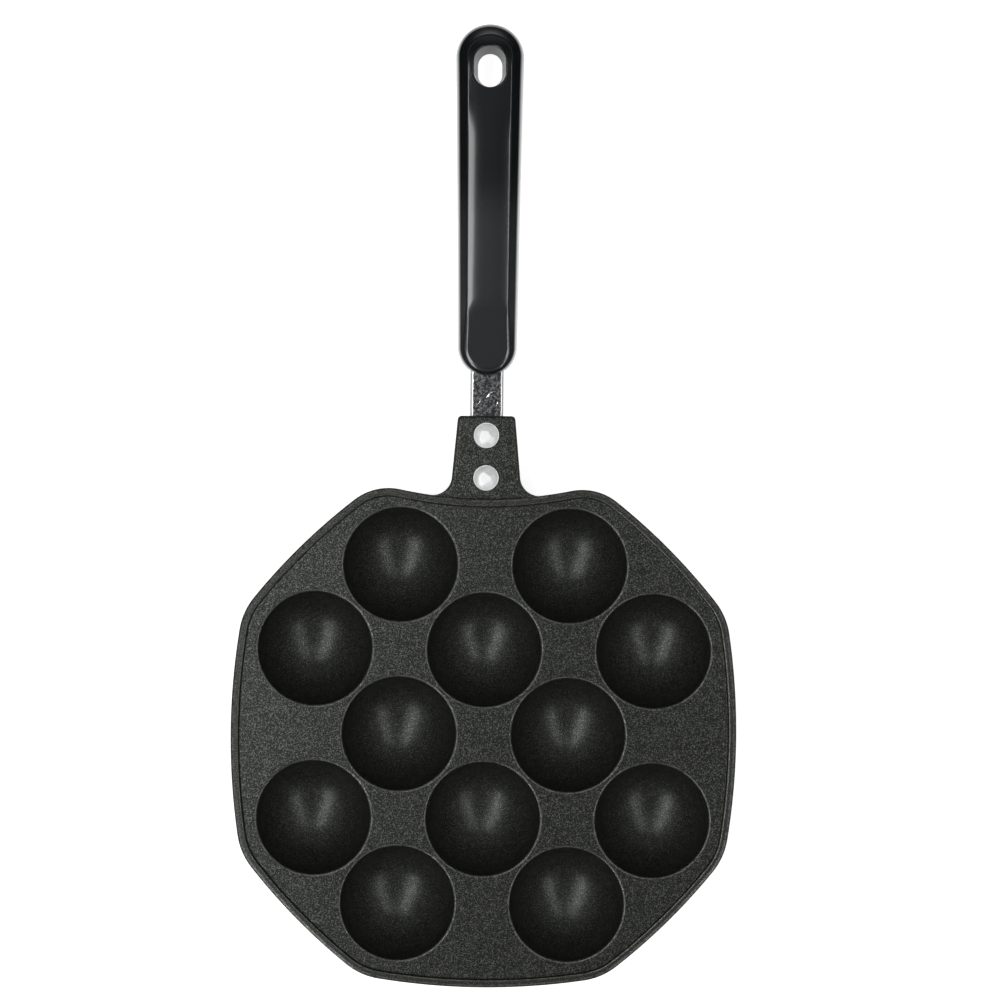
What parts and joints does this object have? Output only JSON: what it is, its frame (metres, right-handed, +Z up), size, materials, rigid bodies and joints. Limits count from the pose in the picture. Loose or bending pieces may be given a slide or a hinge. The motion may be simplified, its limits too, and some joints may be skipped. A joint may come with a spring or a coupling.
{
  "type": "stovetop takoyaki pan",
  "caption": "Cast non-stick pan for the hob with ball-shaped cups in a bowed octagonal plate, a riveted steel strap and a moulded handle with a hang hole.",
  "frame": {"origin": "on the surface that the pan stands on, under the middle of its overall length and width", "axes": "+Z up, out of the cups' mouths; +Y from the plate towards the end of the handle; +X to the right, seen from above with the handle pointing away"},
  "size_m": [0.2, 0.3812, 0.0311],
  "materials": {
    "nonstick_coating": "satin, finely speckled non-stick coating on cast aluminium",
    "strap_steel": "plated pressed steel, slightly mottled and scratched",
    "rivet_aluminium": "satin, pressed",
    "grip_moulding": "glossy black thermoset moulding",
    "screw_steel": "zinc plated"
  },
  "bodies": {
    "root": {"pan_casting": "nonstick_coating", "handle_strap": "strap_steel", "rivet_near_pan": "rivet_aluminium", "rivet_near_grip": "rivet_aluminium", "handle_grip": "grip_moulding", "grip_screw": "screw_steel"}
  },
  "joints": []
}
